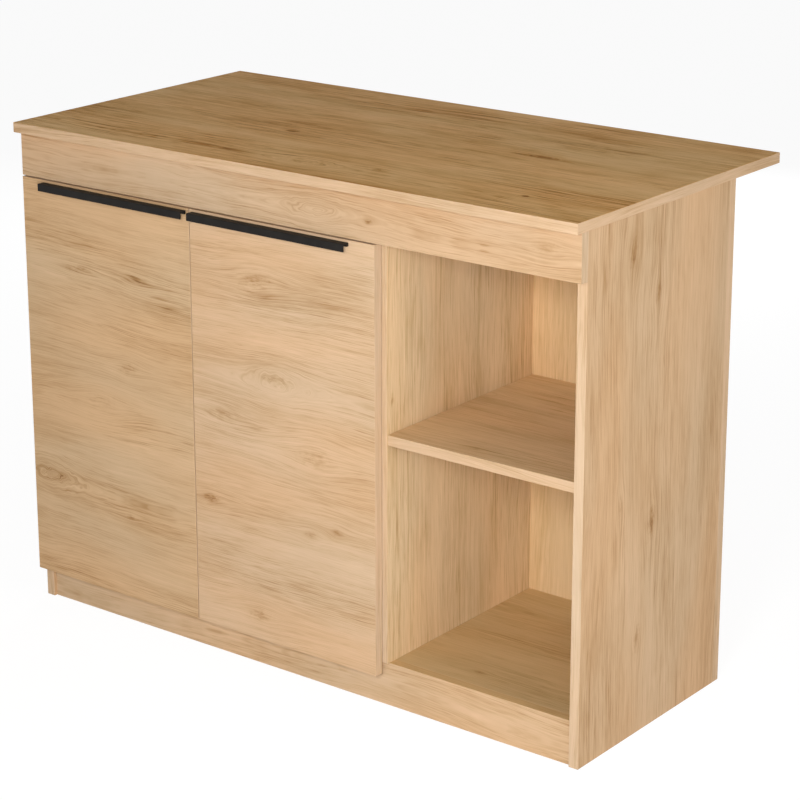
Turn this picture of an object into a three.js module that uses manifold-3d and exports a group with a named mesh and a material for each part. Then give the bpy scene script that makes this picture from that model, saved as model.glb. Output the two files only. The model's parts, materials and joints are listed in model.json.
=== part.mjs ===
// Kitchen island unit: an oak-faced board carcass under a plain worktop, with two overlay
// doors on concealed cup hinges, an open niche with one shelf, and two black edge pulls.
// Millimetres, +Z up, the doors face -Y. The origin is on the floor under the middle of the
// whole unit.
import * as THREE from 'three';
import { mergeVertices } from 'three/addons/utils/BufferGeometryUtils.js';
import Module from 'manifold-3d';

const wasm = await Module();
wasm.setup();

// ---- Driving dimensions ----

// worktop
const worktopWidth = 1200;
const worktopDepth = 610;
const worktopThick = 18;
const counterHeight = 910;
const worktopSideOverhang = 2;
const worktopFrontOverhang = 16; // in front of the fascia

// carcass boards
const sideDepth = 418;
const sideThick = 18;
const dividerThick = 18;
const bottomThick = 18;
const backThick = 18;
const fasciaThick = 18;
const fasciaHeight = 80;
const plinthThick = 18;
const plinthHeight = 78;
const plinthRecess = 6;
const nicheWidth = 368; // clear width between the divider and the right side

// shelves
const nicheShelfThick = 18;
const nicheShelfRecess = 2;
const cabinetShelfThick = 18;
const cabinetShelfRecess = 24;
const cabinetShelfPlay = 1; // gap left at each side and at the back of the loose shelf
const cabinetPinHeight = 435;
const pinRowPitch = 32;
const pinRowsEachWay = 2; // spare holes above and below the pin in use
const pinSetback = 50; // from the front and back ends of a shelf

// shelf pins
const pinRadius = 2.5;
const pinDepth = 8;
const pinHoleClearance = 0.1;
const pegRadius = 3.75;
const pegLength = 8;
const pegFlat = 2.5; // the flat that carries the shelf, above the pin's axis

// doors
const doorThick = 18;
const doorGap = 2; // between the door's back and the carcass's front edges
const doorBottom = 60;
const doorTopGap = 2; // under the fascia
const doorReveal = 1.5; // side panel edge left showing beside the left door
const dividerReveal = 9.5; // divider edge left showing beside the right door
const meetingGap = 2; // between the two doors
const doorEdgeRadius = 0.6;

// edge pulls
const pullLength = 340;
const pullEndMargin = 6; // from the door's meeting edge
const pullTopMargin = 4;
const pullDepth = 15;
const pullWall = 2.2;
const pullLipHeight = 13;
const pullBarDepth = 6;
const pullBarHeight = 6;
const pullCornerRadius = 1.5;
const pullScrewSetback = 10; // from each end of the pull
const pullScrewRadius = 1.5;
const pullScrewBite = 4.5; // thread length inside the pull
const pullScrewHeadRadius = 3.5;
const pullScrewHeadHeight = 1.6;
const screwClearance = 0.15;

// concealed hinges, measured from the hinge pin unless a line says otherwise
const hingeEndDistance = 100; // from the door's top and bottom to the hinge's middle
const hingePinInset = 6; // from the door's edge
const hingePinDepth = 10; // in front of the door's back
const hingePinRadius = 1.2;
const hingePinHalf = 6.8;
const hingePinFit = 0.04; // running clearance on the radius
const cupRadius = 17.5; // the bore in the door
const cupEdgeDistance = 3; // wood left between the bore and the door's edge
const cupDepth = 13.2;
const cupWall = 0.7;
const cupFloor = 0.6;
const cupBoreClearance = 0.1;
const cupFlangeThick = 1;
const cupFlangeRadius = 18.2;
const cupEarOffset = 9.5; // screw line, from the cup's middle, away from the door's edge
const cupEarReach = 28;
const cupEarHalfWidth = 6.5;
const cupEarCornerRadius = 5.8;
const cupScrewHalf = 22.5;
const cupScrewHoleRadius = 2;
const cupBossHeight = 5.6;
const cupBossReach = 2.2; // past the pin, towards the cup's middle
const neckHalfWidth = 4;
const neckClearance = 0.3;
const neckRun = 10.5; // the straight stretch under the door's edge as it opens
const neckDip = 8; // degrees that this stretch slopes down into the cup
const neckOutPull = 0.6; // how far the bend runs level, as a share of its way to the web
const neckUpPull = 0.35; // how early it stands upright, as a share of its climb
const neckSteps = 12;
const knuckleRadius = 2;
const armHalfWidth = 9.5;
const armSheet = 1.6;
const armCornerRadius = 0.4;
const armRise = 12.5; // web's underside above the panel that carries the hinge
const armFront = 13;
const armLength = 54;
const plateSetback = 37; // from the panel's front edge to the plate's screws
const plateBase = 2;
const plateWingHalf = 25;
const plateWingHalfWidth = 6;
const plateScrewHalf = 16;
const plateScrewHoleRadius = 2.6;
const plateRidgeHalfWidth = 7.3;
const plateRidgeHalfLength = 17;
const plateArmGap = 0.5;

// brackets under the worktop
const bracketLeg = 30;
const bracketThick = 2;
const bracketWidth = 24;
const bracketHoleRadius = 2.25;
const bracketSetback = 60; // from the panel's front and back edges

const roundSides = 24;
const cupSides = 32;
const smallSides = 12;
const cutMargin = 1; // how far a cutting tool runs past the face that it opens

// ---- Places that follow from them ----

const carcassWidth = worktopWidth - 2 * worktopSideOverhang;
const carcassTop = counterHeight - worktopThick;
const carcassDepth = sideDepth + backThick;
const worktopFront = -fasciaThick - worktopFrontOverhang;
const rightSideInner = carcassWidth - sideThick;
const dividerRight = rightSideInner - nicheWidth;
const dividerLeft = dividerRight - dividerThick;
const fasciaBottom = carcassTop - fasciaHeight;
const nicheShelfTop = (plinthHeight + carcassTop) / 2;
const nicheShelfBottom = nicheShelfTop - nicheShelfThick;
const cabinetShelfBottom = cabinetPinHeight + pegFlat;

const doorBack = -doorGap;
const doorFront = doorBack - doorThick;
const doorTop = fasciaBottom - doorTopGap;
const leftDoorEdge = doorReveal;
const rightDoorEdge = dividerRight - dividerReveal;
const doorWidth = (rightDoorEdge - leftDoorEdge - meetingGap) / 2;
const hingeAxisY = doorBack - hingePinDepth;
const leftAxisX = leftDoorEdge + hingePinInset;
const rightAxisX = rightDoorEdge - hingePinInset;
const hingeHeights = [doorBottom + hingeEndDistance, doorTop - hingeEndDistance];

const unitFront = doorFront - pullDepth;
const unitBack = worktopFront + worktopDepth;

// ---- Materials ----

const oak = (color) => new THREE.MeshStandardMaterial({ color, roughness: 0.55, metalness: 0 });
const worktopOak = oak(0xb8936a);
const frontOak = oak(0xd2ad84);
const sideOak = oak(0xc8a47c);
const insideOak = oak(0xbf9a72);
const blackMetal = new THREE.MeshStandardMaterial({ color: 0x201f1e, roughness: 0.5, metalness: 0.6 });
const nickel = new THREE.MeshStandardMaterial({ color: 0xb9b9b6, roughness: 0.3, metalness: 1 });
const zinc = new THREE.MeshStandardMaterial({ color: 0xa9abad, roughness: 0.45, metalness: 1 });

// ---- Geometry helpers ----

/** A box between two corners. Faces given the same value meet exactly. */
function box(x0, x1, y0, y1, z0, z1) {
  const geometry = new THREE.BoxGeometry(1, 1, 1);
  const corner = geometry.attributes.position;
  for (let i = 0; i < corner.count; i += 1) {
    const x = corner.getX(i) < 0 ? x0 : x1;
    const y = corner.getY(i) < 0 ? y0 : y1;
    const z = corner.getZ(i) < 0 ? z0 : z1;
    corner.setXYZ(i, x, y, z);
  }
  return geometry;
}

/**
 * A prism of an outline between two planes. The outline's two coordinates are (x, y) for an
 * axis of 'z', (y, z) for 'x' and (z, x) for 'y'.
 */
function prism(outline, axis, from, to, curveSegments = 2) {
  const shape = outline instanceof THREE.Shape ? outline : new THREE.Shape(outline);
  const geometry = new THREE.ExtrudeGeometry(shape, { depth: 1, bevelEnabled: false, curveSegments });
  const point = geometry.attributes.position;
  for (let i = 0; i < point.count; i += 1) {
    const first = point.getX(i);
    const second = point.getY(i);
    const along = point.getZ(i) < 0.5 ? from : to;
    if (axis === 'x') point.setXYZ(i, along, first, second);
    else if (axis === 'y') point.setXYZ(i, second, along, first);
    else point.setXYZ(i, first, second, along);
  }
  return geometry;
}

/** A cylinder between two planes, centred on the other two coordinates. */
function rod(axis, radius, from, to, [first, second], sides = roundSides) {
  const outline = [];
  for (let i = 0; i < sides; i += 1) {
    const turn = (2 * Math.PI * i) / sides;
    outline.push(new THREE.Vector2(first + radius * Math.cos(turn), second + radius * Math.sin(turn)));
  }
  return prism(outline, axis, from, to);
}

/** A rectangle with rounded corners. */
function roundedRectangle(x0, x1, y0, y1, radius) {
  const shape = new THREE.Shape();
  shape.absarc(x1 - radius, y0 + radius, radius, -Math.PI / 2, 0);
  shape.absarc(x1 - radius, y1 - radius, radius, 0, Math.PI / 2);
  shape.absarc(x0 + radius, y1 - radius, radius, Math.PI / 2, Math.PI);
  shape.absarc(x0 + radius, y0 + radius, radius, Math.PI, (3 * Math.PI) / 2);
  return shape;
}

/** A closed geometry as a manifold solid. */
function toSolid(geometry) {
  const bare = new THREE.BufferGeometry();
  bare.setAttribute('position', geometry.attributes.position.clone());
  if (geometry.index) bare.setIndex(geometry.index.clone());
  const merged = mergeVertices(bare, 1e-5);
  const corners = merged.index.array;
  const triVerts = [];
  for (let i = 0; i < corners.length; i += 3) {
    const [a, b, c] = [corners[i], corners[i + 1], corners[i + 2]];
    if (a !== b && b !== c && c !== a) triVerts.push(a, b, c);
  }
  return new wasm.Manifold(new wasm.Mesh({
    numProp: 3,
    vertProperties: new Float32Array(merged.attributes.position.array),
    triVerts: new Uint32Array(triVerts),
  }));
}

/** A manifold solid as a geometry. */
function toGeometry(solid) {
  const { vertProperties, triVerts } = solid.getMesh();
  const geometry = new THREE.BufferGeometry();
  geometry.setAttribute('position', new THREE.BufferAttribute(new Float32Array(vertProperties), 3));
  geometry.setIndex(new THREE.BufferAttribute(new Uint32Array(triVerts), 1));
  geometry.computeVertexNormals();
  return geometry;
}

/** Joins geometries, then cuts the tools out of them. */
function build(pieces, tools = []) {
  let solid = toSolid(pieces[0]);
  for (const piece of pieces.slice(1)) solid = solid.add(toSolid(piece));
  for (const tool of tools) solid = solid.subtract(toSolid(tool));
  return toGeometry(solid);
}

/** The part of a geometry that lies inside another. */
function inside(geometry, limit) {
  return toGeometry(toSolid(geometry).intersect(toSolid(limit)));
}

/** Adds a named sub-part to a group. */
function add(group, name, geometry, material) {
  const mesh = new THREE.Mesh(geometry, material);
  mesh.name = name;
  group.add(mesh);
  return mesh;
}

// ---- Carcass boards ----

const pinRows = [];
for (let row = -pinRowsEachWay; row <= pinRowsEachWay; row += 1) {
  pinRows.push(cabinetPinHeight + row * pinRowPitch);
}
const cabinetPinColumns = [cabinetShelfRecess + pinSetback, sideDepth - pinSetback];
const nichePinColumns = [nicheShelfRecess + pinSetback, sideDepth - pinSetback];
const nichePinHeight = nicheShelfBottom - pegFlat;

/** Blind holes for shelf pins, bored from the face at x in the direction given. */
function pinHoles(x, direction, columns, heights) {
  const mouth = x - direction * cutMargin;
  const end = x + direction * (pinDepth + 2 * pinHoleClearance);
  const tools = [];
  for (const y of columns) {
    for (const z of heights) {
      const radius = pinRadius + pinHoleClearance;
      tools.push(rod('x', radius, Math.min(mouth, end), Math.max(mouth, end), [y, z], smallSides));
    }
  }
  return tools;
}

function addBoards(carcass) {
  add(carcass, 'worktop', box(
    -worktopSideOverhang, carcassWidth + worktopSideOverhang,
    worktopFront, unitBack,
    carcassTop, counterHeight,
  ), worktopOak);

  add(carcass, 'left_side', build(
    [box(0, sideThick, 0, sideDepth, 0, carcassTop)],
    pinHoles(sideThick, -1, cabinetPinColumns, pinRows),
  ), sideOak);

  add(carcass, 'right_side', build(
    [box(rightSideInner, carcassWidth, 0, sideDepth, 0, carcassTop)],
    pinHoles(rightSideInner, 1, nichePinColumns, [nichePinHeight]),
  ), sideOak);

  add(carcass, 'divider', build(
    [box(dividerLeft, dividerRight, 0, sideDepth, plinthHeight, carcassTop)],
    [
      ...pinHoles(dividerLeft, 1, cabinetPinColumns, pinRows),
      ...pinHoles(dividerRight, -1, nichePinColumns, [nichePinHeight]),
    ],
  ), insideOak);

  const plinthBack = plinthRecess + plinthThick;
  add(carcass, 'bottom_panel', box(
    sideThick, rightSideInner, plinthBack, sideDepth, plinthHeight - bottomThick, plinthHeight,
  ), insideOak);
  add(carcass, 'plinth', box(
    sideThick, rightSideInner, plinthRecess, plinthBack, 0, plinthHeight,
  ), frontOak);
  add(carcass, 'back_panel', box(0, carcassWidth, sideDepth, carcassDepth, 0, carcassTop), insideOak);
  add(carcass, 'fascia', box(0, carcassWidth, -fasciaThick, 0, fasciaBottom, carcassTop), frontOak);
}

// ---- Shelves and their pins ----

/** A shelf pin, its axis along +X out of the panel, with a flat on top of its peg. */
function shelfPin() {
  const flatTurn = Math.asin(pegFlat / pegRadius);
  const peg = new THREE.Shape();
  peg.absarc(0, 0, pegRadius, Math.PI - flatTurn, 2 * Math.PI + flatTurn);
  peg.closePath();
  const shank = rod('x', pinRadius, -pinDepth, pegLength / 2, [0, 0], smallSides);
  return build([prism(peg, 'x', 0, pegLength, 6), shank]);
}

/** Four pins that carry one shelf between two facing panels. */
function addPins(carcass, prefix, leftX, rightX, columns, height) {
  const geometry = shelfPin();
  columns.forEach((y, column) => {
    const place = column === 0 ? 'front' : 'back';
    const left = add(carcass, `${prefix}_pin_left_${place}`, geometry, nickel);
    left.position.set(leftX, y, height);
    const right = add(carcass, `${prefix}_pin_right_${place}`, geometry, nickel);
    right.position.set(rightX, y, height);
    right.rotation.z = Math.PI;
  });
}

function addShelves(carcass) {
  add(carcass, 'niche_shelf', box(
    dividerRight, rightSideInner, nicheShelfRecess, sideDepth, nicheShelfBottom, nicheShelfTop,
  ), insideOak);
  addPins(carcass, 'niche', dividerRight, rightSideInner, nichePinColumns, nichePinHeight);

  add(carcass, 'cabinet_shelf', box(
    sideThick + cabinetShelfPlay, dividerLeft - cabinetShelfPlay,
    cabinetShelfRecess, sideDepth - cabinetShelfPlay,
    cabinetShelfBottom, cabinetShelfBottom + cabinetShelfThick,
  ), insideOak);
  addPins(carcass, 'cabinet', sideThick, dividerLeft, cabinetPinColumns, cabinetPinHeight);
}

// ---- Worktop brackets ----

/** A steel angle, its corner at the origin, one leg up the panel and one under the worktop. */
function bracket() {
  const leg = new THREE.Shape([
    new THREE.Vector2(0, 0),
    new THREE.Vector2(-bracketLeg, 0),
    new THREE.Vector2(-bracketLeg, bracketThick),
    new THREE.Vector2(-bracketThick, bracketThick),
    new THREE.Vector2(-bracketThick, bracketLeg),
    new THREE.Vector2(0, bracketLeg),
  ]);
  const half = bracketWidth / 2;
  const mid = (bracketLeg + bracketThick) / 2;
  return build([prism(leg, 'y', -half, half)], [
    rod('x', bracketHoleRadius, -cutMargin, bracketThick + cutMargin, [0, -mid], smallSides),
    rod('z', bracketHoleRadius, -bracketThick - cutMargin, cutMargin, [mid, 0], smallSides),
  ]);
}

function addBrackets(carcass) {
  const geometry = bracket();
  const rows = { front: bracketSetback, back: sideDepth - bracketSetback };
  for (const [place, y] of Object.entries(rows)) {
    const left = add(carcass, `bracket_left_${place}`, geometry, nickel);
    left.position.set(sideThick, y, carcassTop);
    const right = add(carcass, `bracket_right_${place}`, geometry, nickel);
    right.position.set(rightSideInner, y, carcassTop);
    right.rotation.z = Math.PI;
  }
}

// ---- Concealed hinges ----
// Their frame has the pin's axis as its Z axis. +X runs from the door's edge into the door,
// and +Y from the door's front to the carcass.

const cupMiddle = cupEdgeDistance + cupRadius - hingePinInset;
const cupOuter = cupRadius - cupBoreClearance;
const cupTop = hingePinDepth + cupFlangeThick;
const cupBottom = hingePinDepth - cupDepth;
const cupFloorTop = cupBottom + cupFloor;
const pinHoleRadius = (hingePinRadius + hingePinFit) / Math.cos(Math.PI / roundSides);

/** The pressed cup: a bore-tight pot, its flange with two ears, and two bosses for the pin. */
function hingeCup() {
  const inner = cupOuter - cupWall;
  const pot = new THREE.LatheGeometry([
    new THREE.Vector2(0, cupBottom),
    new THREE.Vector2(cupOuter, cupBottom),
    new THREE.Vector2(cupOuter, hingePinDepth),
    new THREE.Vector2(cupFlangeRadius, hingePinDepth),
    new THREE.Vector2(cupFlangeRadius, cupTop),
    new THREE.Vector2(inner, cupTop),
    new THREE.Vector2(inner, cupFloorTop),
    new THREE.Vector2(0, cupFloorTop),
  ], cupSides);
  pot.translate(cupMiddle, 0, 0);

  const screwLine = cupMiddle + cupEarOffset;
  const earOutline = roundedRectangle(
    -cupEarReach, cupEarReach, screwLine - cupEarHalfWidth, screwLine + cupEarHalfWidth,
    cupEarCornerRadius,
  );
  const ears = build([prism(earOutline, 'y', hingePinDepth, cupTop)], [
    rod('y', inner, hingePinDepth - cutMargin, cupTop + cutMargin, [0, cupMiddle], cupSides),
  ]);

  const bossInner = neckHalfWidth + neckClearance;
  const bossOuter = hingePinHalf + 2 * neckClearance;
  const wholeBoss = box(
    -cupRadius, cupBossReach, cupBottom + cupFloor / 2, cupFloorTop + cupBossHeight,
    -bossOuter, bossOuter,
  );
  const boss = inside(wholeBoss, rod(
    'y', cupOuter - cupWall / 2, cupBottom, cupTop, [0, cupMiddle], cupSides,
  ));

  const notch = box(
    -cupRadius, cupBossReach + cutMargin, cupFloorTop, cupTop + cutMargin,
    -bossInner, bossInner,
  );
  const tools = [notch, rod('z', pinHoleRadius, -hingePinHalf, hingePinHalf, [0, 0])];
  for (const side of [-1, 1]) {
    tools.push(rod('y', cupScrewHoleRadius, hingePinDepth - cutMargin, cupTop + cutMargin,
      [side * cupScrewHalf, screwLine], smallSides));
  }
  return build([pot, ears, boss], tools);
}

/** The arm: a knuckle on the pin, a gooseneck out of the cup and a channel over the plate. */
function hingeArm(panelFace) {
  const webInner = panelFace + armRise;
  const webMiddle = webInner + armSheet / 2;
  const slope = THREE.MathUtils.degToRad(-neckDip);
  const dipEnd = new THREE.Vector2(neckRun * Math.cos(slope), neckRun * Math.sin(slope));
  const webStart = new THREE.Vector2(webMiddle, armFront + armSheet);
  const bend = new THREE.CubicBezierCurve(
    dipEnd,
    new THREE.Vector2(dipEnd.x + neckOutPull * (webMiddle - dipEnd.x), dipEnd.y),
    new THREE.Vector2(webMiddle, dipEnd.y + neckUpPull * (webStart.y - dipEnd.y)),
    webStart,
  );
  const middle = [new THREE.Vector2(0, 0), ...bend.getPoints(neckSteps)];
  const [near, far] = [[], []];
  middle.forEach((point, i) => {
    const before = middle[Math.max(i - 1, 0)];
    const after = middle[Math.min(i + 1, middle.length - 1)];
    const across = after.clone().sub(before).normalize().multiplyScalar(armSheet / 2);
    near.push(new THREE.Vector2(point.x + across.y, point.y - across.x));
    far.push(new THREE.Vector2(point.x - across.y, point.y + across.x));
  });
  const neck = prism([...near, ...far.reverse()], 'z', -neckHalfWidth, neckHalfWidth);
  const knuckle = rod('z', knuckleRadius, -neckHalfWidth, neckHalfWidth, [0, 0]);

  const armEnd = armFront + armLength;
  const webOutline = roundedRectangle(
    -armHalfWidth, armHalfWidth, webInner, webInner + armSheet, armCornerRadius,
  );
  const web = prism(webOutline, 'y', armFront, armEnd);
  const flangeFoot = panelFace + plateBase + plateArmGap;
  const flanges = [-1, 1].map((side) => {
    const outer = side * armHalfWidth;
    const innerFace = side * (armHalfWidth - armSheet);
    return prism([
      new THREE.Vector2(webInner + armSheet / 2, armFront + armSheet),
      new THREE.Vector2(webInner + armSheet / 2, armEnd - armSheet),
      new THREE.Vector2(flangeFoot, armEnd - armSheet),
      new THREE.Vector2(flangeFoot, armFront + armRise),
    ], 'z', Math.min(outer, innerFace), Math.max(outer, innerFace));
  });
  return build([knuckle, neck, web, ...flanges], [
    rod('z', pinHoleRadius, -neckHalfWidth - cutMargin, neckHalfWidth + cutMargin, [0, 0]),
  ]);
}

/** The mounting plate: a base with two wings, and the ridge that the arm sits on. */
function hingePlate(panelFace) {
  const screwLine = hingePinDepth + doorGap + plateSetback;
  const wings = roundedRectangle(
    screwLine - plateWingHalfWidth, screwLine + plateWingHalfWidth, -plateWingHalf, plateWingHalf,
    plateWingHalfWidth / 2,
  );
  const ridge = box(
    panelFace, panelFace + armRise,
    screwLine - plateRidgeHalfLength, screwLine + plateRidgeHalfLength,
    -plateRidgeHalfWidth, plateRidgeHalfWidth,
  );
  const tools = [-1, 1].map((side) => rod(
    'x', plateScrewHoleRadius, panelFace - cutMargin, panelFace + plateBase + cutMargin,
    [screwLine, side * plateScrewHalf], smallSides,
  ));
  return build([prism(wings, 'x', panelFace, panelFace + plateBase), ridge], tools);
}

/** Hangs one door: cups and pins turn with it, arms and plates stay on the panel. */
function addHinges(carcass, door, name, mirrored, axisX, panelFace) {
  const cup = hingeCup();
  const pin = rod('z', hingePinRadius, -hingePinHalf, hingePinHalf, [0, 0]);
  const arm = hingeArm(panelFace);
  const plate = hingePlate(panelFace);
  const turn = mirrored ? Math.PI : 0;
  hingeHeights.forEach((height, i) => {
    const level = i === 0 ? 'lower' : 'upper';
    const turning = new THREE.Group();
    turning.position.z = height;
    turning.rotation.y = turn;
    door.add(turning);
    add(turning, `${name}_hinge_cup_${level}`, cup, nickel);
    add(turning, `${name}_hinge_pin_${level}`, pin, nickel);

    const fixed = new THREE.Group();
    fixed.position.set(axisX, hingeAxisY, height);
    fixed.rotation.y = turn;
    carcass.add(fixed);
    add(fixed, `${name}_hinge_arm_${level}`, arm, nickel);
    add(fixed, `${name}_hinge_plate_${level}`, plate, zinc);
  });
}

// ---- Doors and pulls ----
// A door's frame has its hinge axis as its Z axis. Its sign is 1 where the door runs towards
// +X from there, and -1 where it is mirrored.

const doorBackY = hingePinDepth;
const doorFaceY = hingePinDepth - doorThick;
const doorFarEdge = doorWidth - hingePinInset;
const pullTop = doorTop - pullTopMargin;
const pullScrewHeight = pullTop - pullBarHeight / 2;
const pullEnds = [doorFarEdge - pullEndMargin - pullLength, doorFarEdge - pullEndMargin];
const pullScrewPlaces = {
  inner: pullEnds[1] - pullScrewSetback,
  outer: pullEnds[0] + pullScrewSetback,
};

function doorBoard(sign) {
  const edges = [-sign * hingePinInset, sign * doorFarEdge].sort((a, b) => a - b);
  const outline = roundedRectangle(...edges, doorFaceY, doorBackY, doorEdgeRadius);
  const tools = hingeHeights.map((height) => rod(
    'y', cupRadius, cupBottom - cupBoreClearance, doorBackY + cutMargin,
    [height, sign * cupMiddle], cupSides,
  ));
  for (const place of Object.values(pullScrewPlaces)) {
    tools.push(rod('y', pullScrewRadius + screwClearance, doorFaceY - cutMargin, doorBackY + cutMargin,
      [pullScrewHeight, sign * place], smallSides));
  }
  return build([prism(outline, 'z', doorBottom, doorTop)], tools);
}

/** The edge pull's section: a bar on the door, a top flange and a lip to hook fingers behind. */
function pullSection() {
  const front = doorFaceY - pullDepth;
  const bar = doorFaceY - pullBarDepth;
  const radius = pullCornerRadius;
  const barFoot = pullTop - pullBarHeight;
  const section = new THREE.Shape();
  section.moveTo(doorFaceY, pullTop);
  section.lineTo(front + radius, pullTop);
  section.absarc(front + radius, pullTop - radius, radius, Math.PI / 2, Math.PI);
  section.lineTo(front, pullTop - pullLipHeight);
  section.lineTo(front + pullWall, pullTop - pullLipHeight);
  section.lineTo(front + pullWall, pullTop - pullWall);
  section.lineTo(bar, pullTop - pullWall);
  section.absarc(bar + radius, barFoot + radius, radius, Math.PI, (3 * Math.PI) / 2);
  section.lineTo(doorFaceY, barFoot);
  return section;
}

function pull(sign) {
  const ends = pullEnds.map((end) => sign * end).sort((a, b) => a - b);
  const tools = Object.values(pullScrewPlaces).map((place) => rod(
    'y', pullScrewRadius + screwClearance,
    doorFaceY - pullScrewBite - screwClearance, doorFaceY + cutMargin,
    [pullScrewHeight, sign * place], smallSides,
  ));
  return build([prism(pullSection(), 'x', ...ends)], tools);
}

/** A screw from the door's back into the pull, its axis along Y. */
function pullScrew() {
  const headTop = doorBackY + pullScrewHeadHeight;
  return build([
    rod('y', pullScrewHeadRadius, doorBackY, headTop, [0, 0], 2 * smallSides),
    rod('y', pullScrewRadius, doorFaceY - pullScrewBite, doorBackY + screwClearance, [0, 0], smallSides),
  ]);
}

function addDoor(unit, carcass, name, sign, axisX, panelFace) {
  const door = new THREE.Group();
  door.position.set(axisX, hingeAxisY, 0);
  unit.add(door);
  add(door, `${name}_door`, doorBoard(sign), frontOak);
  add(door, `${name}_pull`, pull(sign), blackMetal);
  const screw = pullScrew();
  for (const [place, x] of Object.entries(pullScrewPlaces)) {
    const mesh = add(door, `${name}_pull_screw_${place}`, screw, nickel);
    mesh.position.set(sign * x, 0, pullScrewHeight);
  }
  addHinges(carcass, door, name, sign < 0, axisX, panelFace);
}

// ---- The whole unit ----

const group = new THREE.Group();
group.position.set(-carcassWidth / 2, -(unitFront + unitBack) / 2, 0);

const carcass = new THREE.Group();
group.add(carcass);
addBoards(carcass);
addShelves(carcass);
addBrackets(carcass);
addDoor(group, carcass, 'left', 1, leftAxisX, sideThick - leftAxisX);
addDoor(group, carcass, 'right', -1, rightAxisX, rightAxisX - dividerLeft);

export default group;
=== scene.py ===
"""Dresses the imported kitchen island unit: oak laminate, black pulls, bright hinges, a pale studio."""

import json
import math

import bpy
from mathutils import Matrix, Vector
from mathutils.geometry import tessellate_polygon

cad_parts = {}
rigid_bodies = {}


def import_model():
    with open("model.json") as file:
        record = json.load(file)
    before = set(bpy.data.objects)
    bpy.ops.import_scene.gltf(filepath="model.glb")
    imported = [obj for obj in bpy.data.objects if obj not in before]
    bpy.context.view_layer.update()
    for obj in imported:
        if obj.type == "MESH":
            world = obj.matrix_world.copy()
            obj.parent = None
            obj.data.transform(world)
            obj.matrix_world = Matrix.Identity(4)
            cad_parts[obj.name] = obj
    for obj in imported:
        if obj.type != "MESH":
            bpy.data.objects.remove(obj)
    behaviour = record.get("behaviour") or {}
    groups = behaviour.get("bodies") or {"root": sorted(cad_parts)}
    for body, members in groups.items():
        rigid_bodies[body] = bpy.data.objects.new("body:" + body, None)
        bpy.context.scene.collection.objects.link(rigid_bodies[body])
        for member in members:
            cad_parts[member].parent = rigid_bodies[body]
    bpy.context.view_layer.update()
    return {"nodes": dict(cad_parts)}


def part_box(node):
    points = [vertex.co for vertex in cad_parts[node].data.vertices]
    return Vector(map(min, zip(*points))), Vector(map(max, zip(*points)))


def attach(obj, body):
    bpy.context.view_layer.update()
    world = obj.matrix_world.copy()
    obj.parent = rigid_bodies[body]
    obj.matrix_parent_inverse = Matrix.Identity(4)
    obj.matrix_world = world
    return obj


AXES = "xyz"
MILLIMETRE = 0.001

# ---- Camera, in metres and degrees. The focal length is for a sensor 36 mm wide. ----

CAMERA_PLACE = (2.59323, -3.32388, 1.82923)
CAMERA_YAW = 37.63
CAMERA_PITCH = -16.13
CAMERA_ROLL = -0.05
CAMERA_LENS = 112.37
CAMERA_SENSOR = 36.0
CAMERA_SHIFT_Y = -0.12

# ---- Light and floor. ----

LAMPS = {
    "key": {"place": (1.50, -2.90, 1.75), "size": 0.7, "power": 60.0},
    "low": {"place": (2.30, -2.70, 0.50), "size": 1.0, "power": 38.0},
    "side": {"place": (3.40, -0.80, 1.30), "size": 1.2, "power": 26.0},
    "back": {"place": (-2.00, 3.20, 0.75), "size": 1.0, "power": 45.0},
}
LAMP_TARGET = (0.0, 0.0, 0.45)
WORLD_SIDE = 0.42
WORLD_TOP = 0.08
FLOOR_SIDE = 14.0
FLOOR_COLOUR = (0.86, 0.86, 0.86, 1.0)
# The floor is seen as a mix of its lit colour, which shows the shadow, and of plain white. The white
# is a little over 1, so that the open floor and the world above it end as the same white.
FLOOR_WHITE_SHARE = 0.86
FLOOR_WHITE = 1.08

# ---- Grain. ----

# Each noise of the grain: scale along the grain and across it per metre, shift, detail, roughness.
GRAIN_NOISES = {
    "wander": (1.5, 4.0, 0.0, 1.0, 0.5),
    "ripple": (7.0, 24.0, 3.1, 2.0, 0.5),
    "jag": (42.0, 60.0, 5.3, 1.0, 0.5),
    "lines": (2.2, 150.0, 7.3, 3.0, 0.60),
    "fibre": (11.0, 640.0, 11.9, 2.0, 0.75),
    "patch": (2.6, 11.0, 13.7, 1.0, 0.5),
    "year_lines": (1.7, 95.0, 17.7, 1.0, 0.5),
    "pores": (26.0, 760.0, 19.1, 1.0, 0.5),
    "pale_lines": (3.1, 120.0, 21.1, 1.0, 0.5),
    "bands": (1.3, 22.0, 23.3, 2.0, 0.55),
    "clouds": (4.0, 12.0, 29.9, 3.0, 0.55),
    "warmth": (2.3, 7.0, 37.1, 1.0, 0.5),
}
# How far the first three move the grain, in metres, and how much the others add to its tone.
GRAIN_WEIGHTS = {
    "wander": 0.060,
    "ripple": 0.009,
    "jag": 0.075,
    "lines": 0.28,
    "fibre": 1.0,
    "bands": 0.24,
    "clouds": 0.42,
    "year_lines": -0.15,
    "pale_lines": 0.07,
    "pores": -0.14,
}
ARCH_REACH = 0.055  # the length along the heart line over which the rings close in an arch
HEART_SIDES = 2.5  # how fast the figure changes from one side of the heart line to the other
FIBRE_PATCHES = (0.35, 0.65, 0.46, 0.86)
YEAR_LINE_WIDTH = 0.035
YEAR_LINE_PATCHES = (0.45, 0.62)
PALE_LINE_WIDTH = 0.030
PALE_LINE_PATCHES = (0.55, 0.40)
PORE_LEVELS = (0.58, 0.68)

# ---- Knots. The halo is where the grain bends round one, and the core is its dark middle. ----

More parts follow.
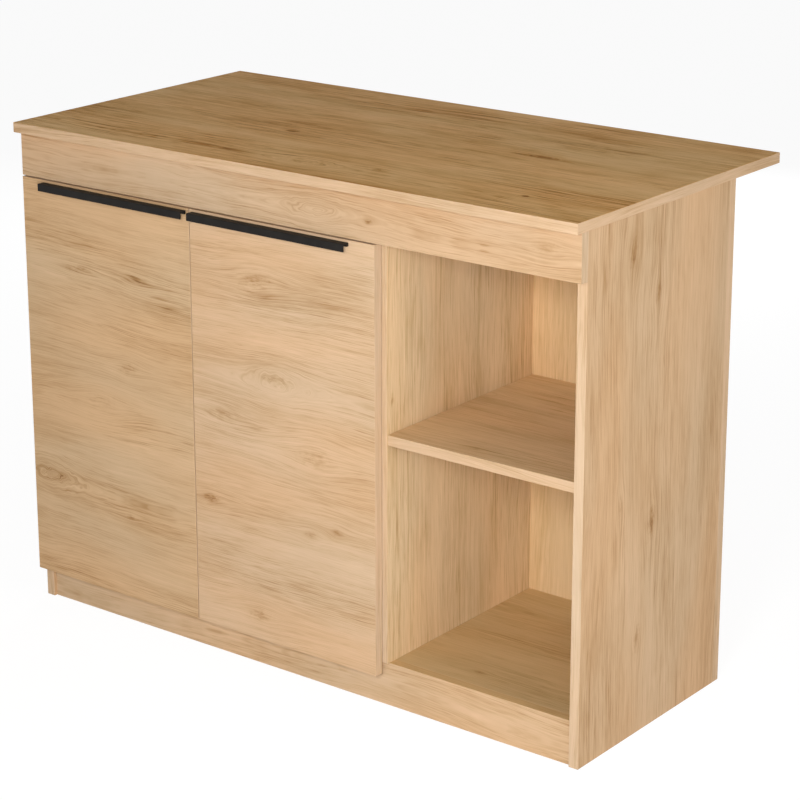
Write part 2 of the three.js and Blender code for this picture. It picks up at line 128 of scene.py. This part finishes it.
KNOT_SOCKETS = ("Along", "Across", "Along place", "Across place", "Radius", "Strength", "Stretch")
KNOT_GRIT_SCALE = 110.0
KNOT_GRIT = 2.2
KNOT_GRIT_ACROSS = 0.7
KNOT_STREAKS_ALONG = 90.0
KNOT_STREAKS_ACROSS = 420.0
KNOT_STREAK_LEVELS = (0.35, 0.62, 0.35, 1.15)
KNOT_ROUGHNESS = 0.6
KNOT_HALO = -0.14
KNOT_CORE = -0.9
KNOT_PUSH = -0.72
KNOT_DEPTH = 0.42

# ---- Oak. The ramps give the colour for a tone, as a share of the board's colour. ----

FACING = 0.7  # a normal's share along an axis from which a face counts as facing that way
OAK_MIDDLE = 0.54
OAK_RAMP = (
    (0.00, (0.37, 0.26, 0.155, 1.0)),
    (0.22, (0.68, 0.57, 0.425, 1.0)),
    (0.40, (0.88, 0.845, 0.765, 1.0)),
    (0.54, (1.02, 1.02, 1.02, 1.0)),
    (0.78, (1.16, 1.19, 1.24, 1.0)),
)
# The worktop's figure is golden brown where it is dark.
TOP_RAMP = (
    (0.00, (0.36, 0.23, 0.06, 1.0)),
    (0.22, (0.68, 0.52, 0.27, 1.0)),
    (0.40, (0.89, 0.81, 0.66, 1.0)),
    (0.54, (1.02, 1.02, 1.02, 1.0)),
    (0.78, (1.14, 1.20, 1.34, 1.0)),
)
OAK_WARM = (1.03, 0.985, 0.95, 1.0)
OAK_COOL = (0.98, 1.0, 1.03, 1.0)
WARMTH_LEVELS = (0.35, 0.65)
OAK_ROUGHNESS = (0.2, 0.8, 0.62, 0.50)
OAK_GLOSS = 0.14
TOP_GLOSS = 0.05
EDGE_CONTRAST = 0.9
PORE_RELIEF = 0.4
OAK_RELIEF = 0.05 * MILLIMETRE

OAK_FRONT = (0.528, 0.364, 0.221, 1.0)
OAK_LEFT = (0.545, 0.366, 0.206, 1.0)
# Painted light: the right door's copy of the front's oak is lighter than the left door's, for the light
# that falls brighter on the right of the front.
OAK_RIGHT_LIT = (0.585, 0.402, 0.245, 1.0)
OAK_SIDE = (0.550, 0.367, 0.211, 1.0)
# Partly the worktop's own colour and partly painted light: brighter and more saturated than the front's
# oak, to make up for the weak light on the top and the pale sheen it catches.
OAK_TOP_TONE_AND_LIGHT = (0.830, 0.488, 0.178, 1.0)
# Painted light: the niche's back panel, shelves and divider are lighter, warmer copies of the front's
# oak, for the light inside the niche.
OAK_INSIDE_LIT = (0.690, 0.490, 0.275, 1.0)
OAK_DIVIDER_LIT = (0.690, 0.498, 0.290, 1.0)
OAK_PLINTH = (0.568, 0.394, 0.238, 1.0)
# Painted light: the niche floor's lighter, warmer copy of the oak. The plinth's edging takes it too.
OAK_FLOOR_LIT = (0.600, 0.420, 0.208, 1.0)
# Painted light: the edging is a lighter copy of the oak, which makes up for the shade that falls on the
# boards' narrow edges.
OAK_EDGE_LIT = (0.575, 0.410, 0.262, 1.0)

# Each board: its grain, face and thickness axes, colour, contrast, seed, the heart line's place across
# the grain, the arches' tip along it, how far the rings swell there, and its knots. A knot is its
# place along and across the grain, radius, strength and stretch along the grain. All in metres.
BOARDS = {
    "worktop": (
        "x", "y", "z", OAK_TOP_TONE_AND_LIGHT, 1.9, 2.3, -0.235, 0.02, 0.020,
        (
            (0.1465, -0.2058, 0.007, 1.5, 1.9),
            (-0.1592, -0.0615, 0.005, 1.4, 1.8),
            (0.4375, -0.2085, 0.0035, 2.6, 1.6),
            (0.3016, 0.0331, 0.006, 1.3, 6.0),
        ),
    ),
    "fascia": (
        "x", "z", "y", OAK_FRONT, 1.0, 9.1, 0.848, 0.075, 0.016,
        (
            (0.1887, 0.846, 0.0035, 0.8, 1.8),
            (-0.2025, 0.8795, 0.007, 0.35, 2.2),
            (0.5328, 0.8584, 0.008, 0.4, 2.0),
        ),
    ),
    "left_door": (
        "x", "z", "y", OAK_LEFT, 1.15, 15.7, 0.255, -0.56, 0.028,
        (
            (-0.4661, 0.6594, 0.005, 0.6, 5.0),
            (-0.3275, 0.6608, 0.007, 0.3, 3.0),
            (-0.3513, 0.4956, 0.009, 0.55, 1.8),
            (-0.4185, 0.4188, 0.014, 0.32, 2.2),
            (-0.3559, 0.2159, 0.003, 0.9, 2.6),
        ),
    ),
    "right_door": (
        "x", "z", "y", OAK_RIGHT_LIT, 1.0, 21.9, 0.532, -0.01, 0.018,
        (
            (-0.0511, 0.706, 0.011, 0.55, 2.2),
            (-0.006, 0.543, 0.008, 0.5, 3.4),
            (-0.1268, 0.4562, 0.010, 0.4, 3.2),
            (0.0727, 0.4196, 0.014, 0.4, 2.0),
            (-0.159, 0.2972, 0.006, 1.0, 2.3),
            (0.0665, 0.2821, 0.006, 0.4, 2.0),
            (0.121, 0.2987, 0.005, 0.45, 1.6),
            (-0.0531, 0.1049, 0.009, 0.55, 2.4),
        ),
    ),
    "plinth": (
        "x", "z", "y", OAK_PLINTH, 1.0, 28.3, 0.03, -0.9, 0.02,
        ((-0.3546, 0.0605, 0.005, 0.5, 2.2),),
    ),
    "left_side": (
        "z", "y", "x", OAK_SIDE, 1.0, 34.1, -0.05, 0.36, 0.025,
        ((0.61, 0.03, 0.007, 0.6, 2.0), (0.24, -0.12, 0.008, 0.7, 2.2)),
    ),
    "right_side": (
        "z", "y", "x", OAK_SIDE, 1.1, 40.7, 0.30, 0.4, 0.0,
        (
            (0.8284, -0.1419, 0.010, 0.42, 2.2),
            (0.7499, -0.0649, 0.008, 0.42, 2.0),
            (0.3626, -0.0689, 0.009, 0.7, 2.6),
            (0.4138, -0.1638, 0.006, 0.5, 2.4),
            (0.1677, -0.105, 0.008, 0.45, 2.6),
        ),
    ),
    "divider": (
        "z", "y", "x", OAK_DIVIDER_LIT, 1.15, 47.9, 0.38, 0.4, 0.0,
        ((0.5427, -0.2568, 0.004, 0.6, 2.2),),
    ),
    "back_panel": (
        "z", "x", "y", OAK_INSIDE_LIT, 0.85, 53.3, 0.06, 0.30, 0.030,
        ((0.55, -0.31, 0.009, 0.6, 2.2), (0.22, 0.18, 0.007, 0.7, 2.0)),
    ),
    "bottom_panel": (
        "x", "y", "z", OAK_FLOOR_LIT, 0.95, 59.9, 0.05, -0.2, 0.02,
        ((0.3528, -0.2023, 0.005, 0.5, 2.0),),
    ),
    "niche_shelf": (
        "x", "y", "z", OAK_INSIDE_LIT, 1.1, 66.1, 0.0, 0.15, 0.02,
        ((0.3613, -0.2333, 0.005, 0.5, 2.2),),
    ),
    "cabinet_shelf": ("x", "y", "z", OAK_INSIDE_LIT, 1.1, 72.7, 0.0, -0.3, 0.025, ()),
}
# What a board has of its own. The plinth's top edge lies in line with the niche's floor.
FINISHES = {
    "worktop": {"ramp": TOP_RAMP, "gloss": TOP_GLOSS},
    "plinth": {"edge": OAK_FLOOR_LIT},
}

# ---- Metals and edges. ----

NOISE_LEVELS = (0.3, 0.7)  # between these lies nearly all of a noise
COAT_DARK = (0.0125, 0.0110, 0.0100, 1.0)
COAT_LIGHT = (0.0175, 0.0155, 0.0140, 1.0)
COAT_PEEL_SCALE = 900.0
COAT_PATCH_SCALE = 35.0
COAT_ROUGHNESS = (0.50, 0.64)
COAT_GLOSS = 0.12
COAT_RELIEF = 0.03 * MILLIMETRE
DULL_SHARE = 0.86
BROAD_SCALE = 1 / 14
# Each plated metal: colour, least and most roughness, scale of its fine noise, relief in metres.
PLATED = {
    "pin_steel": ("nickel_pin", (0.60, 0.59, 0.56), (0.26, 0.38), 1500.0, 0.008 * MILLIMETRE),
    "hinge_steel": ("nickel_hinge", (0.66, 0.65, 0.62), (0.18, 0.30), 1100.0, 0.006 * MILLIMETRE),
    "hinge_zinc": ("zinc_casting", (0.52, 0.52, 0.53), (0.34, 0.48), 800.0, 0.02 * MILLIMETRE),
}
PULLS = ("left_pull", "right_pull")
BOARD_ROUNDING = 0.5 * MILLIMETRE
PULL_ROUNDING = 0.3 * MILLIMETRE
ROUNDING_STEPS = 2
WELD_REACH = 0.01 * MILLIMETRE
SHARP_ANGLE = math.radians(40)

# ---- Screws: radius and height of the head, radius and depth of the shank, in metres. ----

SCREWS = {
    "cup": (0.0035, 0.0011, 0.0017, 0.0009),
    "plate": (0.0040, 0.0016, 0.0021, 0.0018),
    "arm": (0.0036, 0.0014, 0.0, 0.0),
    "bracket": (0.0038, 0.0017, 0.0020, 0.0018),
}
HEAD_PROFILE = ((1.0, 0.0), (1.0, 0.45), (0.95, 0.68), (0.84, 0.87), (0.66, 1.0))
RECESS_ARM = 0.46
RECESS_HALF = 0.11
RECESS_DEPTH = 0.62
SCREW_SIDES = 24
SCREW_TURN = 37.0

# The hinges' frames in metres: the pin's place, the side that their X axis points to, and along X
# the face of the panel that carries the plate.
HINGES = {
    "left": {"place": (-0.5905, -0.2825), "side": 1, "panel": 0.0105},
    "right": {"place": (0.1965, -0.2825), "side": -1, "panel": 0.0025},
}
CUP_SCREW_X = 0.0240
CUP_SCREW_Y = 0.0110
CUP_SCREW_HALF = 0.0225
PLATE_SCREW_RISE = 0.0020
PLATE_SCREW_Y = 0.0490
PLATE_SCREW_HALF = 0.0160
ARM_SCREW_RISE = 0.0141
ARM_SCREW_PLACES = (0.0290, 0.0530)
BRACKET_SCREW = 0.0160
BRACKET_THICK = 0.0020


class Nodes:
    """Adds shader nodes to a tree, so that a formula reads as one."""

    def __init__(self, tree):
        self.tree = tree

    def add(self, kind, **settings):
        node = self.tree.nodes.new(kind)
        for name, value in settings.items():
            setattr(node, name, value)
        return node

    def feed(self, socket, value):
        if isinstance(value, bpy.types.NodeSocket):
            self.tree.links.new(value, socket)
        else:
            socket.default_value = value

    def math(self, operation, *values):
        node = self.add("ShaderNodeMath", operation=operation)
        for socket, value in zip(node.inputs, values):
            self.feed(socket, value)
        return node.outputs[0]

    def plus(self, *values):
        total = values[0]
        for value in values[1:]:
            total = self.math("ADD", total, value)
        return total

    def times(self, *values):
        total = values[0]
        for value in values[1:]:
            total = self.math("MULTIPLY", total, value)
        return total

    def minus(self, value, other):
        return self.math("SUBTRACT", value, other)

    def vector(self, x, y, z):
        node = self.add("ShaderNodeCombineXYZ")
        for socket, value in zip(node.inputs, (x, y, z)):
            self.feed(socket, value)
        return node.outputs[0]

    def parts(self, vector):
        node = self.add("ShaderNodeSeparateXYZ")
        self.feed(node.inputs[0], vector)
        return node.outputs

    def noise(self, vector, scale=1.0, detail=0.0, roughness=0.5):
        node = self.add("ShaderNodeTexNoise")
        self.feed(node.inputs["Vector"], vector)
        node.inputs["Scale"].default_value = scale
        node.inputs["Detail"].default_value = detail
        node.inputs["Roughness"].default_value = roughness
        return node.outputs[0]

    def swing(self, noise, amount):
        """A noise turned into a value around 0."""
        return self.times(self.minus(noise, 0.5), amount)

    def span(self, value, low, high, to_low=0.0, to_high=1.0):
        node = self.add("ShaderNodeMapRange")
        for socket, given in zip(node.inputs, (value, low, high, to_low, to_high)):
            self.feed(socket, given)
        return node.outputs[0]

    def choose(self, switch, off, on):
        node = self.add("ShaderNodeMix", data_type="FLOAT")
        for index, given in zip((0, 2, 3), (switch, off, on)):
            self.feed(node.inputs[index], given)
        return node.outputs[0]

    def blend(self, share, first, second, how="MIX"):
        node = self.add("ShaderNodeMix", data_type="RGBA", blend_type=how)
        for index, given in zip((0, 6, 7), (share, first, second)):
            self.feed(node.inputs[index], given)
        return node.outputs[2]

    def ramp(self, value, stops):
        node = self.add("ShaderNodeValToRGB")
        elements = node.color_ramp.elements
        while len(elements) < len(stops):
            elements.new(0.5)
        for element, (place, colour) in zip(elements, stops):
            element.position = place
            element.color = colour
        self.feed(node.inputs[0], value)
        return node.outputs[0]

    def use(self, group, inputs):
        node = self.add("ShaderNodeGroup", node_tree=group)
        for name, value in inputs.items():
            self.feed(node.inputs[name], value)
        return node.outputs


def new_group(name, inputs, outputs):
    """An empty node group with float sockets: its tree, Nodes helper, input and output sockets."""
    tree = bpy.data.node_groups.new(name, "ShaderNodeTree")
    for titles, side in ((inputs, "INPUT"), (outputs, "OUTPUT")):
        for title in titles:
            tree.interface.new_socket(name=title, in_out=side, socket_type="NodeSocketFloat")
    nodes = Nodes(tree)
    start = nodes.add("NodeGroupInput")
    end = nodes.add("NodeGroupOutput")
    return tree, nodes, start.outputs, end.inputs


def make_grain():
    """Oak figure on a plane. Along runs with the grain and Across over it, in metres. The year rings
    run beside a heart line and swell round one place on it, the tip, where they close in arches."""
    tree, n, given, result = new_group(
        "oak_grain",
        ("Along", "Across", "Seed", "Heart", "Tip", "Swell"),
        ("Tone", "Warmth", "Pores"),
    )
    along, across, seed = given["Along"], given["Across"], given["Seed"]
    weights = GRAIN_WEIGHTS

    def sample(title, across_value, level=seed):
        along_scale, across_scale, shift, detail, roughness = GRAIN_NOISES[title]
        place = n.vector(
            n.times(along, along_scale),
            n.times(across_value, across_scale),
            n.plus(level, shift),
        )
        return n.noise(place, detail=detail, roughness=roughness)

    def thin_lines(noise, width):
        """1 on the lines where a noise passes its middle."""
        return n.span(n.math("ABSOLUTE", n.minus(noise, 0.5)), 0.0, width, 1.0, 0.0)

    wander, ripple, jag = (
        n.swing(sample(title, across), weights[title]) for title in ("wander", "ripple", "jag")
    )
    bent = n.plus(across, wander, ripple)
    from_heart = n.minus(bent, given["Heart"])
    past_tip = n.times(n.plus(n.minus(along, given["Tip"]), jag), 1 / ARCH_REACH)
    from_tip = n.times(n.math("TANH", past_tip), given["Swell"])
    ring = n.math("SQRT", n.plus(n.times(from_heart, from_heart), n.times(from_tip, from_tip)))
    sided = n.plus(seed, n.times(from_heart, HEART_SIDES))

    lines, fibre, year_lines, pale_lines, pores = (
        sample(title, ring, sided) for title in ("lines", "fibre", "year_lines", "pale_lines", "pores")
    )
    patch, bands, clouds, warmth = (
        sample(title, bent) for title in ("patch", "bands", "clouds", "warmth")
    )
    strength = n.span(patch, *FIBRE_PATCHES)
    year_lines = thin_lines(year_lines, YEAR_LINE_WIDTH)
    pale_lines = thin_lines(pale_lines, PALE_LINE_WIDTH)
    pores = n.span(pores, *PORE_LEVELS)
    tone = n.plus(
        OAK_MIDDLE,
        n.swing(lines, weights["lines"]),
        n.times(n.swing(fibre, weights["fibre"]), strength),
        n.swing(bands, weights["bands"]),
        n.swing(clouds, weights["clouds"]),
        n.times(year_lines, n.span(patch, *YEAR_LINE_PATCHES), weights["year_lines"]),
        n.times(pale_lines, n.span(patch, *PALE_LINE_PATCHES), weights["pale_lines"]),
        n.times(pores, strength, weights["pores"]),
    )
    for title, value in (("Tone", tone), ("Warmth", warmth), ("Pores", pores)):
        n.feed(result[title], value)
    return tree


def make_knot():
    """A knot: Shift bends the grain round it and Dark is its streaky brown middle."""
    tree, n, given, result = new_group("oak_knot", KNOT_SOCKETS, ("Shift", "Dark"))
    along, across, radius = given["Along"], given["Across"], given["Radius"]
    grit = n.noise(
        n.vector(along, across, given["Along place"]),
        scale=KNOT_GRIT_SCALE,
        detail=3.0,
        roughness=KNOT_ROUGHNESS,
    )
    streaks = n.noise(
        n.vector(
            n.times(along, KNOT_STREAKS_ALONG),
            n.times(across, KNOT_STREAKS_ACROSS),
            given["Across place"],
        ),
        detail=2.0,
        roughness=KNOT_ROUGHNESS,
    )
    rough = n.swing(grit, KNOT_GRIT)
    side = n.minus(across, given["Across place"])
    away = n.minus(along, given["Along place"])
    u = n.math("DIVIDE", away, n.times(radius, given["Stretch"]))
    v = n.math("DIVIDE", side, radius)
    near = n.plus(n.times(u, u), n.times(v, v))
    ragged_u = n.plus(u, rough)
    ragged_v = n.plus(v, n.times(rough, KNOT_GRIT_ACROSS))
    ragged = n.plus(n.times(ragged_u, ragged_u), n.times(ragged_v, ragged_v))
    halo = n.math("EXPONENT", n.times(near, KNOT_HALO))
    core = n.math("EXPONENT", n.times(ragged, KNOT_CORE))
    n.feed(result["Shift"], n.times(side, halo, KNOT_PUSH))
    n.feed(result["Dark"], n.times(core, given["Strength"], n.span(streaks, *KNOT_STREAK_LEVELS)))
    return tree


def make_material(name):
    """A material with one Principled shader, its Nodes helper and that shader."""
    material = bpy.data.materials.new(name)
    material.use_nodes = True
    material.node_tree.nodes.clear()
    nodes = Nodes(material.node_tree)
    shader = nodes.add("ShaderNodeBsdfPrincipled")
    output = nodes.add("ShaderNodeOutputMaterial")
    nodes.feed(output.inputs["Surface"], shader.outputs[0])
    return material, nodes, shader


def bump(nodes, shader, height, distance):
    node = nodes.add("ShaderNodeBump")
    node.inputs["Strength"].default_value = 1.0
    node.inputs["Distance"].default_value = distance
    nodes.feed(node.inputs["Height"], height)
    nodes.feed(shader.inputs["Normal"], node.outputs[0])


def oak_board(
    name, grain, face, thickness, colour, contrast, seed, heart, tip, swell, knots,
    edge=OAK_EDGE_LIT, ramp=OAK_RAMP, gloss=OAK_GLOSS,
):
    """Oak laminate on one board, as BOARDS describes it. Its edges carry an edging whose grain runs
    along them, in a colour painted lighter for the shade that falls on the edges."""
    material, n, shader = make_material(name)
    coordinates = n.add("ShaderNodeTexCoord")
    at = dict(zip(AXES, n.parts(coordinates.outputs["Object"])))
    facing = {
        axis: n.math("GREATER_THAN", n.math("ABSOLUTE", share), FACING)
        for axis, share in zip(AXES, n.parts(coordinates.outputs["Normal"]))
    }
    along = n.choose(facing[grain], at[grain], at[face])
    across = n.choose(facing[thickness], at[thickness], at[face])
    shift, dark = 0.0, 0.0
    for knot in knots:
        spot = n.use(KNOT, dict(zip(KNOT_SOCKETS, (along, across, *knot))))
        shift = n.plus(shift, spot["Shift"])
        dark = n.plus(dark, spot["Dark"])
    figure = n.use(
        GRAIN,
        {
            "Along": along,
            "Across": n.plus(across, shift),
            "Seed": seed,
            "Heart": heart,
            "Tip": tip,
            "Swell": swell,
        },
    )
    strength = n.choose(facing[thickness], EDGE_CONTRAST, contrast)
    swing = n.times(n.minus(figure["Tone"], OAK_MIDDLE), strength)
    tone = n.plus(OAK_MIDDLE, swing, n.times(dark, -KNOT_DEPTH))
    shares = n.blend(facing[thickness], n.ramp(tone, OAK_RAMP), n.ramp(tone, ramp))
    hue = n.blend(n.span(figure["Warmth"], *WARMTH_LEVELS), OAK_COOL, OAK_WARM)
    shade = n.blend(1.0, shares, hue, "MULTIPLY")
    # The board's colour, and the edging's on its edges. Some of these colours carry painted light.
    own = n.blend(facing[thickness], edge, colour)
    n.feed(shader.inputs["Base Color"], n.blend(1.0, shade, own, "MULTIPLY"))
    n.feed(shader.inputs["Roughness"], n.span(tone, *OAK_ROUGHNESS))
    shader.inputs["Specular IOR Level"].default_value = gloss
    bump(n, shader, n.minus(tone, n.times(figure["Pores"], PORE_RELIEF)), OAK_RELIEF)
    return material


def powder_coat(name):
    """Matt black powder coat, with its fine orange-peel surface."""
    material, n, shader = make_material(name)
    place = n.add("ShaderNodeTexCoord").outputs["Object"]
    peel = n.noise(place, scale=COAT_PEEL_SCALE, detail=2.0)
    patch = n.noise(place, scale=COAT_PATCH_SCALE, detail=2.0)
    n.feed(shader.inputs["Base Color"], n.blend(n.span(patch, *NOISE_LEVELS), COAT_DARK, COAT_LIGHT))
    n.feed(shader.inputs["Roughness"], n.span(peel, *NOISE_LEVELS, *COAT_ROUGHNESS))
    shader.inputs["Specular IOR Level"].default_value = COAT_GLOSS
    bump(n, shader, peel, COAT_RELIEF)
    return material


def plated(name, colour, roughness, scale, relief):
    """Bare or plated metal whose gloss and colour vary a little."""
    material, n, shader = make_material(name)
    place = n.add("ShaderNodeTexCoord").outputs["Object"]
    fine = n.noise(place, scale=scale, detail=3.0)
    broad = n.noise(place, scale=scale * BROAD_SCALE, detail=2.0)
    dull = tuple(DULL_SHARE * channel for channel in colour)
    tinted = n.blend(n.span(broad, *NOISE_LEVELS), (*dull, 1.0), (*colour, 1.0))
    n.feed(shader.inputs["Base Color"], tinted)
    shader.inputs["Metallic"].default_value = 1.0
    n.feed(shader.inputs["Roughness"], n.span(fine, *NOISE_LEVELS, *roughness))
    bump(n, shader, fine, relief)
    return material


def dress(item, material):
    for slot in item.material_slots:
        slot.material = material


def soften(item, width):
    """Rounds the sharp edges of a piece. The imported faces are apart, so they are joined first."""
    weld = item.modifiers.new("joined", "WELD")
    weld.merge_threshold = WELD_REACH
    bevel = item.modifiers.new("rounded", "BEVEL")
    bevel.width = width
    bevel.segments = ROUNDING_STEPS
    bevel.limit_method = "ANGLE"
    bevel.angle_limit = SHARP_ANGLE
    bevel.harden_normals = True


def slot_of(item):
    """The record's material slot of a CAD node, from its imported material's name."""
    return item.material_slots[0].material.name.split(".")[0]


def add_object(name, data):
    item = bpy.data.objects.new(name, data)
    bpy.context.scene.collection.objects.link(item)
    return item


def make_camera():
    data = bpy.data.cameras.new("camera")
    data.sensor_width = CAMERA_SENSOR
    data.lens = CAMERA_LENS
    data.shift_y = CAMERA_SHIFT_Y
    camera = add_object("camera", data)
    camera.matrix_world = (
        Matrix.Translation(CAMERA_PLACE)
        @ Matrix.Rotation(math.radians(CAMERA_YAW), 4, "Z")
        @ Matrix.Rotation(math.radians(90 + CAMERA_PITCH), 4, "X")
        @ Matrix.Rotation(math.radians(CAMERA_ROLL), 4, "Z")
    )
    bpy.context.scene.camera = camera


def make_lamp(name, place, size, power):
    """A round soft lamp that shines on the middle of the unit and isn't seen itself."""
    data = bpy.data.lights.new(name, "AREA")
    data.shape = "DISK"
    data.size = size
    data.energy = power
    lamp = add_object(name, data)
    lamp.location = place
    aim = Vector(LAMP_TARGET) - Vector(place)
    lamp.rotation_euler = aim.to_track_quat("-Z", "Y").to_euler()
    lamp.visible_camera = False
    lamp.visible_glossy = False


def white_seen(n):
    """1 for rays that should meet the plain white background."""
    path = n.add("ShaderNodeLightPath")
    straight = n.math("MAXIMUM", path.outputs["Is Camera Ray"], path.outputs["Is Glossy Ray"])
    return n.math("MAXIMUM", straight, path.outputs["Is Transmission Ray"])


def make_world():
    """A plain pale room: white to the eye and in reflections, softer from above as a light."""
    world = bpy.data.worlds.new("studio")
    world.use_nodes = True
    world.node_tree.nodes.clear()
    n = Nodes(world.node_tree)
    height = n.parts(n.add("ShaderNodeTexCoord").outputs["Generated"])[2]
    level = n.span(height, 0.0, 1.0, WORLD_SIDE, WORLD_TOP)
    background = n.add("ShaderNodeBackground")
    background.inputs["Color"].default_value = (1.0, 1.0, 1.0, 1.0)
    n.feed(background.inputs["Strength"], n.choose(white_seen(n), level, 1.0))
    output = n.add("ShaderNodeOutputWorld")
    n.feed(output.inputs["Surface"], background.outputs[0])
    bpy.context.scene.world = world


def floor_material():
    """Seen straight or in a reflection it is nearly white, and as a light it is plain matt."""
    material = bpy.data.materials.new("floor")
    material.use_nodes = True
    material.node_tree.nodes.clear()
    n = Nodes(material.node_tree)
    matt = n.add("ShaderNodeBsdfDiffuse")
    matt.inputs["Color"].default_value = FLOOR_COLOUR
    white = n.add("ShaderNodeEmission")
    white.inputs["Strength"].default_value = FLOOR_WHITE
    mix = n.add("ShaderNodeMixShader")
    n.feed(mix.inputs[0], n.times(white_seen(n), FLOOR_WHITE_SHARE))
    n.feed(mix.inputs[1], matt.outputs[0])
    n.feed(mix.inputs[2], white.outputs[0])
    output = n.add("ShaderNodeOutputMaterial")
    n.feed(output.inputs["Surface"], mix.outputs[0])
    return material


def make_floor():
    mesh = bpy.data.meshes.new("floor")
    half = FLOOR_SIDE / 2
    corners = [(-half, -half, 0.0), (half, -half, 0.0), (half, half, 0.0), (-half, half, 0.0)]
    mesh.from_pydata(corners, [], [(0, 1, 2, 3)])
    mesh.materials.append(floor_material())
    add_object("floor", mesh)


def screw_mesh(name, radius, height, shank, depth):
    """A pan head with a cross recess. Its Z axis points out of the face that it sits on."""

    def ring(distance, level):
        turns = [2 * math.pi * i / SCREW_SIDES for i in range(SCREW_SIDES)]
        return [(distance * math.cos(turn), distance * math.sin(turn), level) for turn in turns]

    arm, half = RECESS_ARM * radius, RECESS_HALF * radius
    corner = ((arm, -half), (arm, half), (half, half))
    cross = []
    for quarter in range(4):
        turn = Matrix.Rotation(math.radians(90 * quarter), 2)
        cross += [tuple(turn @ Vector(point)) for point in corner]
    rings = [ring(radius * share, height * rise) for share, rise in HEAD_PROFILE]
    if shank:
        rings = [ring(shank, -depth), ring(shank, 0.0)] + rings
    points, faces = [], []
    for level, circle in enumerate(rings):
        points += circle
        if level:
            low, high = (level - 1) * SCREW_SIDES, level * SCREW_SIDES
            for i in range(SCREW_SIDES):
                after = (i + 1) % SCREW_SIDES
                faces.append((low + i, low + after, high + after, high + i))
    faces.append(tuple(reversed(range(SCREW_SIDES))))
    rim = len(points) - SCREW_SIDES
    lip = len(points)
    points += [(x, y, height) for x, y in cross]
    floor = len(points)
    points += [(x, y, height * (1 - RECESS_DEPTH)) for x, y in cross]
    loops = [[Vector(point) for point in points[start:end]] for start, end in ((rim, lip), (lip, floor))]
    for triangle in tessellate_polygon(loops):
        corners = [rim + i for i in triangle]
        a, b, c = (Vector(points[i]) for i in corners)
        faces.append(tuple(corners if (b - a).cross(c - a).z > 0 else reversed(corners)))
    count = len(cross)
    for i in range(count):
        after = (i + 1) % count
        faces.append((lip + i, floor + i, floor + after, lip + after))
    faces.append(tuple(range(floor, floor + count)))
    mesh = bpy.data.meshes.new(name)
    mesh.from_pydata(points, [], faces)
    mesh.validate()
    return mesh


def make_screws():
    """The screws of the hinges and of the worktop's brackets."""
    meshes = {kind: screw_mesh(f"{kind}_screw", *sizes) for kind, sizes in SCREWS.items()}
    for mesh in meshes.values():
        mesh.materials.append(METALS["pin_steel"])

    def put(name, kind, place, outward, body):
        screw = add_object(name, meshes[kind])
        spin = Matrix.Rotation(math.radians(SCREW_TURN * len(bpy.data.objects)), 4, "Z")
        facing = Vector(outward).to_track_quat("Z", "Y").to_matrix().to_4x4()
        screw.matrix_world = Matrix.Translation(place) @ facing @ spin
        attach(screw, body)

    for name, hinge in HINGES.items():
        (x, y), side, panel = hinge["place"], hinge["side"], hinge["panel"]
        for level in ("lower", "upper"):
            low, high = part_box(f"{name}_hinge_pin_{level}")
            z = (low[2] + high[2]) / 2
            for end, up in (("top", 1), ("bottom", -1)):
                put(
                    f"{name}_hinge_cup_screw_{level}_{end}", "cup",
                    (x + side * CUP_SCREW_X, y + CUP_SCREW_Y, z + up * CUP_SCREW_HALF),
                    (0, 1, 0), f"{name}_door",
                )
                put(
                    f"{name}_hinge_plate_screw_{level}_{end}", "plate",
                    (x + side * (panel + PLATE_SCREW_RISE), y + PLATE_SCREW_Y, z + up * PLATE_SCREW_HALF),
                    (side, 0, 0), "carcass",
                )
            for end, depth in zip(("front", "back"), ARM_SCREW_PLACES):
                put(
                    f"{name}_hinge_arm_screw_{level}_{end}", "arm",
                    (x + side * (panel + ARM_SCREW_RISE), y + depth, z),
                    (side, 0, 0), "carcass",
                )
    for across, side in (("left", 1), ("right", -1)):
        for along in ("front", "back"):
            low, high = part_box(f"bracket_{across}_{along}")
            x, y, z = (low[0] if side > 0 else high[0]), (low[1] + high[1]) / 2, high[2]
            put(
                f"bracket_screw_{across}_{along}_side", "bracket",
                (x + side * BRACKET_THICK, y, z - BRACKET_SCREW), (side, 0, 0), "carcass",
            )
            put(
                f"bracket_screw_{across}_{along}_top", "bracket",
                (x + side * BRACKET_SCREW, y, z - BRACKET_THICK), (0, 0, -1), "carcass",
            )


GRAIN = make_grain()
KNOT = make_knot()
METALS = {"black_metal": powder_coat("powder_coat")}
for kind, values in PLATED.items():
    METALS[kind] = plated(*values)

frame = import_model()
make_camera()
for title, item in frame["nodes"].items():
    if title in BOARDS:
        dress(item, oak_board(f"oak_{title}", *BOARDS[title], **FINISHES.get(title, {})))
        soften(item, BOARD_ROUNDING)
    else:
        dress(item, METALS[slot_of(item)])
for title in PULLS:
    soften(frame["nodes"][title], PULL_ROUNDING)
make_screws()
for title, lamp in LAMPS.items():
    make_lamp(title, **lamp)
make_world()
make_floor()
bpy.context.scene.view_settings.view_transform = "Standard"
